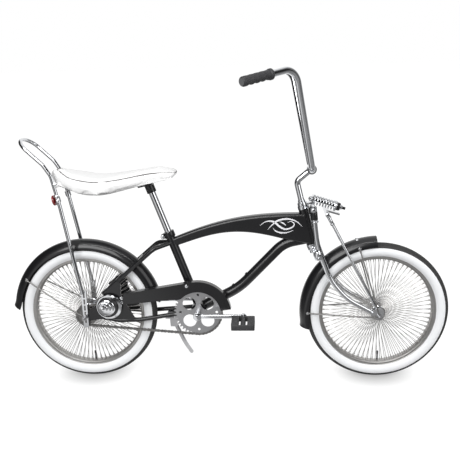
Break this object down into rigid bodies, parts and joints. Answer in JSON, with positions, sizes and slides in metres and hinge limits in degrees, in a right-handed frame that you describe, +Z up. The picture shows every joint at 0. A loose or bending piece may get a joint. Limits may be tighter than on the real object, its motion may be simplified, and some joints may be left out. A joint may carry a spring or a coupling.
{
  "type": "chopper bicycle",
  "caption": "Low rider chopper bicycle with a springer fork, high-rise handlebar, banana seat on a tall back bar, chain drive with guard, wire wheels and a side stand.",
  "frame": {"origin": "centre of the bounding box on the ground the parked bicycle stands on", "axes": "+X forward, +Y to the rider's left, +Z up; the bicycle leans to +Y on its side stand"},
  "size_m": [1.5923, 0.5965, 1.126],
  "materials": {
    "black_paint": "satin",
    "chrome": "polished",
    "zinc_steel": "satin",
    "black_steel": "satin",
    "tyre_rubber": "matte",
    "black_plastic": "matte",
    "white_vinyl": "smooth",
    "red_lens": "gloss"
  },
  "bodies": {
    "frame": {"head_tube": "black_paint", "headset_cups": "chrome", "seat_tube": "black_paint", "bottom_bracket": "black_paint", "tank_beam": "black_paint", "down_tube": "black_paint", "seat_stays": "black_paint", "chain_stays": "black_paint", "dropout_plates": "black_paint", "side_cups": "chrome", "rear_axle": "zinc_steel", "rear_axle_nuts": "zinc_steel", "chain": "zinc_steel", "chain_guard": "black_paint", "rear_fender": "black_paint", "rear_fender_stays": "chrome", "seat_post": "chrome", "seat_collar": "chrome", "seat_bracket": "chrome", "seat_cushion": "white_vinyl", "seat_pan": "black_paint", "sissy_loop": "chrome", "sissy_struts": "chrome", "sissy_clamps": "chrome", "rear_reflector": "red_lens", "stand_bracket": "chrome"},
    "rear_wheel": {"rear_tyre": "tyre_rubber", "rear_wire_wheel": "chrome"},
    "rear_sprocket": {"rear_sprocket": "black_steel"},
    "crank": {"crank": "chrome", "chainring": "zinc_steel"},
    "pedal_right": {"pedal_right": "black_plastic"},
    "pedal_left": {"pedal_left": "black_plastic"},
    "steering": {"fork_legs": "chrome", "fork_crown": "chrome", "headset_nut": "black_steel", "fork_bridge": "chrome", "spring_bolt": "chrome", "fork_spring": "chrome", "spring_yoke": "chrome", "fork_struts": "chrome", "fork_rockers": "chrome", "front_axle": "zinc_steel", "front_axle_nuts": "zinc_steel", "stem": "chrome", "handlebar": "chrome", "grips": "black_plastic", "front_fender": "black_paint", "front_fender_stays": "chrome"},
    "front_wheel": {"front_tyre": "tyre_rubber", "front_wire_wheel": "chrome"},
    "side_stand": {"side_stand": "chrome"}
  },
  "joints": [
    {"name": "rear_wheel_spin", "type": "hinge", "parent": "frame", "child": "rear_wheel", "pos_m": [-0.51468, -0.07161, 0.25313], "axis": [0, 0.9962, -0.0872], "continuous": true},
    {"name": "crank_spin", "type": "hinge", "parent": "frame", "child": "crank", "pos_m": [-0.10168, -0.07056, 0.26509], "axis": [0, 0.9962, -0.0872], "continuous": true},
    {"name": "sprocket_spin", "type": "hinge", "parent": "frame", "child": "rear_sprocket", "pos_m": [-0.51468, -0.07161, 0.25313], "axis": [0, 0.9962, -0.0872], "continuous": true},
    {"name": "pedal_right_spin", "type": "hinge", "parent": "crank", "child": "pedal_right", "pos_m": [0.06332, -0.07056, 0.26509], "axis": [0, 0.9962, -0.0872], "continuous": true},
    {"name": "pedal_left_spin", "type": "hinge", "parent": "crank", "child": "pedal_left", "pos_m": [-0.26668, -0.07056, 0.26509], "axis": [0, 0.9962, -0.0872], "continuous": true},
    {"name": "steer", "type": "hinge", "parent": "frame", "child": "steering", "pos_m": [0.30532, -0.04947, 0.50617], "axis": [-0.225, 0.0849, 0.9707], "range_deg": [-60, 60]},
    {"name": "front_wheel_spin", "type": "hinge", "parent": "steering", "child": "front_wheel", "pos_m": [0.54232, -0.07161, 0.25313], "axis": [0, 0.9962, -0.0872], "continuous": true},
    {"name": "side_stand_fold", "type": "hinge", "parent": "frame", "child": "side_stand", "pos_m": [-0.20668, -0.03535, 0.18571], "axis": [0, 0.9816, 0.1908], "range_deg": [0, 100]}
  ],
  "couplings": [
    {"joint": "sprocket_spin", "follows": "crank_spin", "ratio": 2.3333}
  ]
}
